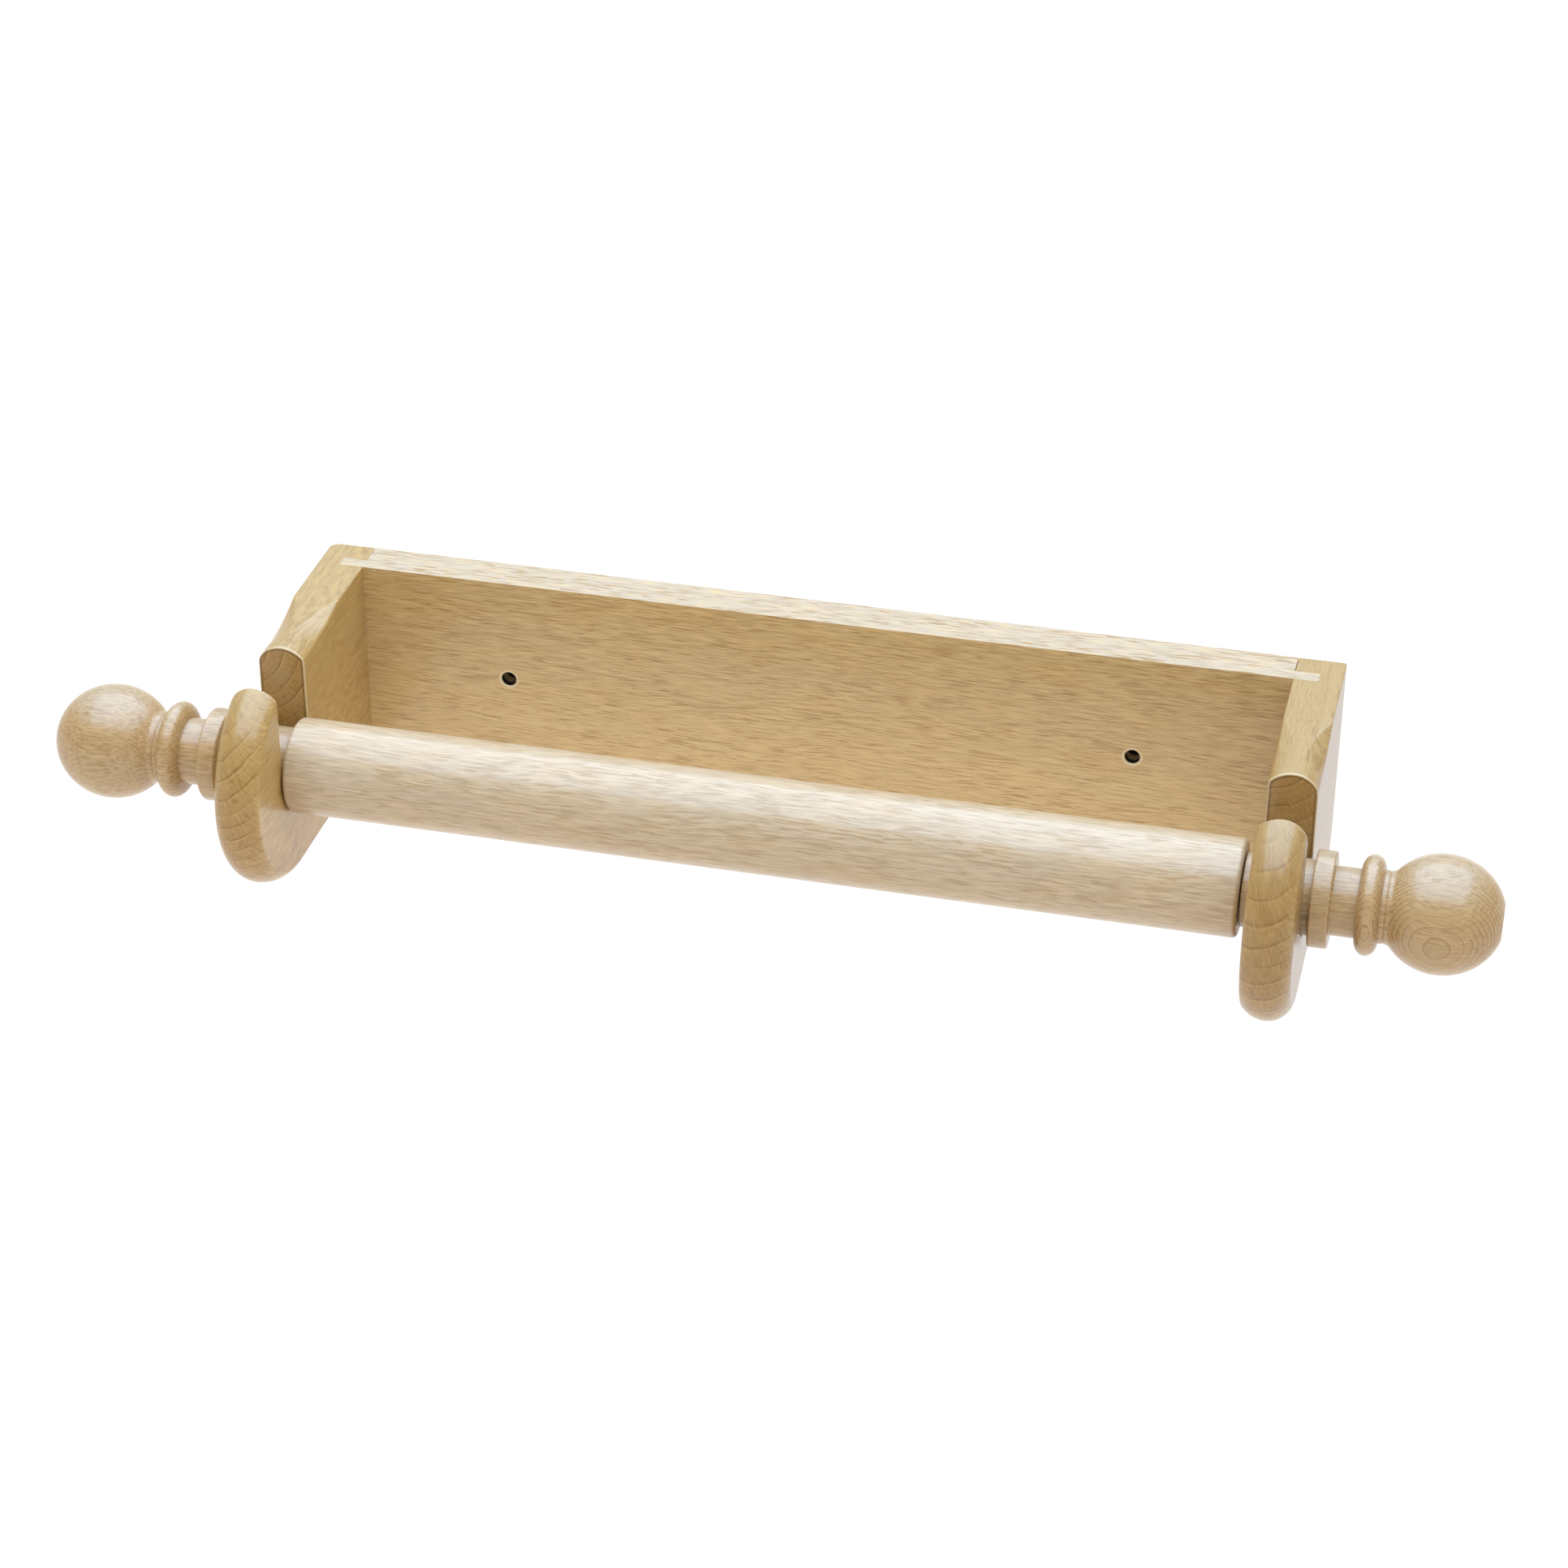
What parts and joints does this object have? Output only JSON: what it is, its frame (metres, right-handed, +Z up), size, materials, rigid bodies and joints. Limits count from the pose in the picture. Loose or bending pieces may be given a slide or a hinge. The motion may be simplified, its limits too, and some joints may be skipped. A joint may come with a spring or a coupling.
{
  "type": "wall-mounted roll holder",
  "caption": "Wooden wall holder for a paper or film roll: a back board with slotted side brackets and a turned ball-ended spindle that spins and lifts out.",
  "frame": {"origin": "middle of the back board's rear face, the face that lies against the wall", "axes": "+X along the spindle to the right, -Y from the wall into the room, +Z up"},
  "size_m": [0.3754, 0.0995, 0.06],
  "materials": {
    "beech_board": "satin clear lacquer on planed beech",
    "beech_bracket": "satin clear lacquer on planed beech",
    "beech_rod": "satin clear lacquer on turned beech",
    "beech_finial": "satin clear lacquer on turned beech",
    "beech_peg": "plain unfinished beech"
  },
  "bodies": {
    "frame": {"back_board": "beech_board", "left_bracket": "beech_bracket", "right_bracket": "beech_bracket"},
    "lift_carrier": {"left_peg": "beech_peg", "right_peg": "beech_peg"},
    "spindle": {"roller_rod": "beech_rod", "left_finial": "beech_finial", "right_finial": "beech_finial"}
  },
  "joints": [
    {"name": "spindle_lift", "type": "slide", "parent": "frame", "child": "lift_carrier", "axis": [0, 0, 1], "range_m": [0, 0.04]},
    {"name": "roller_spin", "type": "hinge", "parent": "lift_carrier", "child": "spindle", "pos_m": [0, -0.0685, 0.0016], "axis": [1, 0, 0], "continuous": true}
  ]
}
